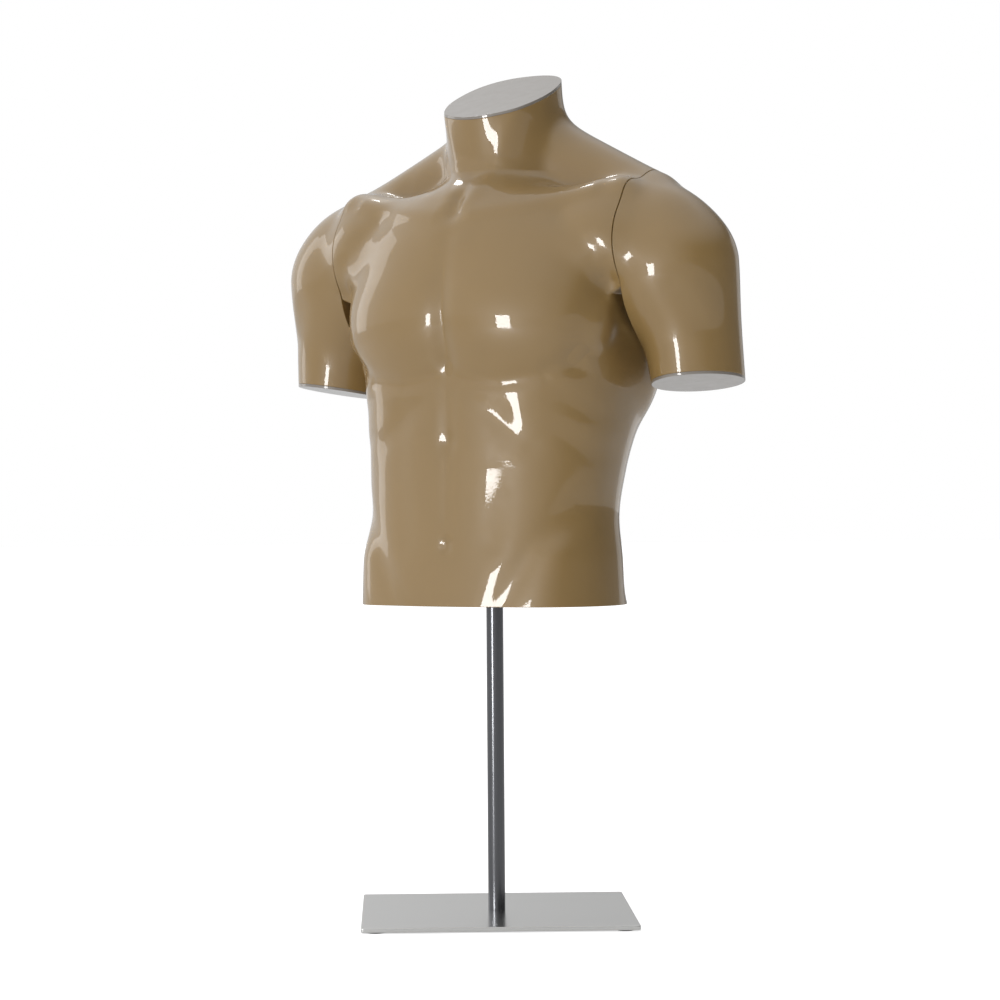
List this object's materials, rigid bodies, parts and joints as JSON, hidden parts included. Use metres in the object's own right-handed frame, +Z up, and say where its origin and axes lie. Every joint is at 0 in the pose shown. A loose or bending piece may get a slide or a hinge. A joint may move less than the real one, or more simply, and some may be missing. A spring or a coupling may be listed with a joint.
{
  "type": "male torso display mannequin",
  "caption": "Headless male torso display mannequin in gloss taupe lacquer, with pull-off upper arms, on a chrome pole and a square steel base plate.",
  "frame": {"origin": "centre of the underside, on the pole's axis", "axes": "+Z up; the figure faces -Y and its own left arm is at +X; the base plate is turned 35 degrees about the pole"},
  "size_m": [0.578, 0.4154, 0.9444],
  "materials": {
    "lacquer": "high-gloss taupe lacquer",
    "lid_lacquer": "high-gloss pale taupe lacquer",
    "laminate": "raw glass-fibre laminate",
    "plywood": "sanded birch plywood",
    "zinc_steel": "bright zinc plate",
    "bright_steel": "ground and plated",
    "magnet_nickel": "nickel plate",
    "pole_chrome": "polished chrome plate",
    "plate_steel": "polished steel",
    "black_nylon": "moulded nylon",
    "pad_rubber": "matt"
  },
  "bodies": {
    "stand": {"base_plate": "plate_steel", "base_pads": "pad_rubber", "base_screw": "zinc_steel", "pole_foot_plug": "zinc_steel", "pole": "pole_chrome", "pole_top_plug": "black_nylon"},
    "carriage": {"sleeve_bush": "black_nylon"},
    "torso": {"torso_shell": "lacquer", "neck_lid": "lid_lacquer", "hip_board": "plywood", "pole_socket": "zinc_steel", "socket_screws": "zinc_steel", "left_shoulder_panel": "laminate", "right_shoulder_panel": "laminate", "left_socket_plate": "zinc_steel", "right_socket_plate": "zinc_steel", "left_socket_plate_screws": "zinc_steel", "right_socket_plate_screws": "zinc_steel", "left_shoulder_magnets": "magnet_nickel", "right_shoulder_magnets": "magnet_nickel"},
    "clamp": {"clamp_screw": "black_nylon"},
    "left_arm": {"left_arm_shell": "lacquer", "left_arm_lid": "lid_lacquer", "left_arm_panel": "laminate", "left_peg_plate": "zinc_steel", "left_arm_peg": "bright_steel", "left_arm_dowel": "bright_steel", "left_peg_plate_screws": "zinc_steel", "left_arm_magnets": "magnet_nickel"},
    "right_arm": {"right_arm_shell": "lacquer", "right_arm_lid": "lid_lacquer", "right_arm_panel": "laminate", "right_peg_plate": "zinc_steel", "right_arm_peg": "bright_steel", "right_arm_dowel": "bright_steel", "right_peg_plate_screws": "zinc_steel", "right_arm_magnets": "magnet_nickel"}
  },
  "joints": [
    {"name": "height_slide", "type": "slide", "parent": "stand", "child": "carriage", "axis": [0, 0, 1], "range_m": [-0.06, 0.1]},
    {"name": "torso_swivel", "type": "hinge", "parent": "carriage", "child": "torso", "pos_m": [0, 0, 0.347], "axis": [0, 0, 1], "continuous": true},
    {"name": "clamp_travel", "type": "slide", "parent": "torso", "child": "clamp", "axis": [0, 1, 0], "range_m": [0, 0.006]},
    {"name": "left_arm_pull", "type": "slide", "parent": "torso", "child": "left_arm", "axis": [1, 0, 0], "range_m": [0, 0.12]},
    {"name": "right_arm_pull", "type": "slide", "parent": "torso", "child": "right_arm", "axis": [-1, 0, 0], "range_m": [0, 0.12]}
  ]
}
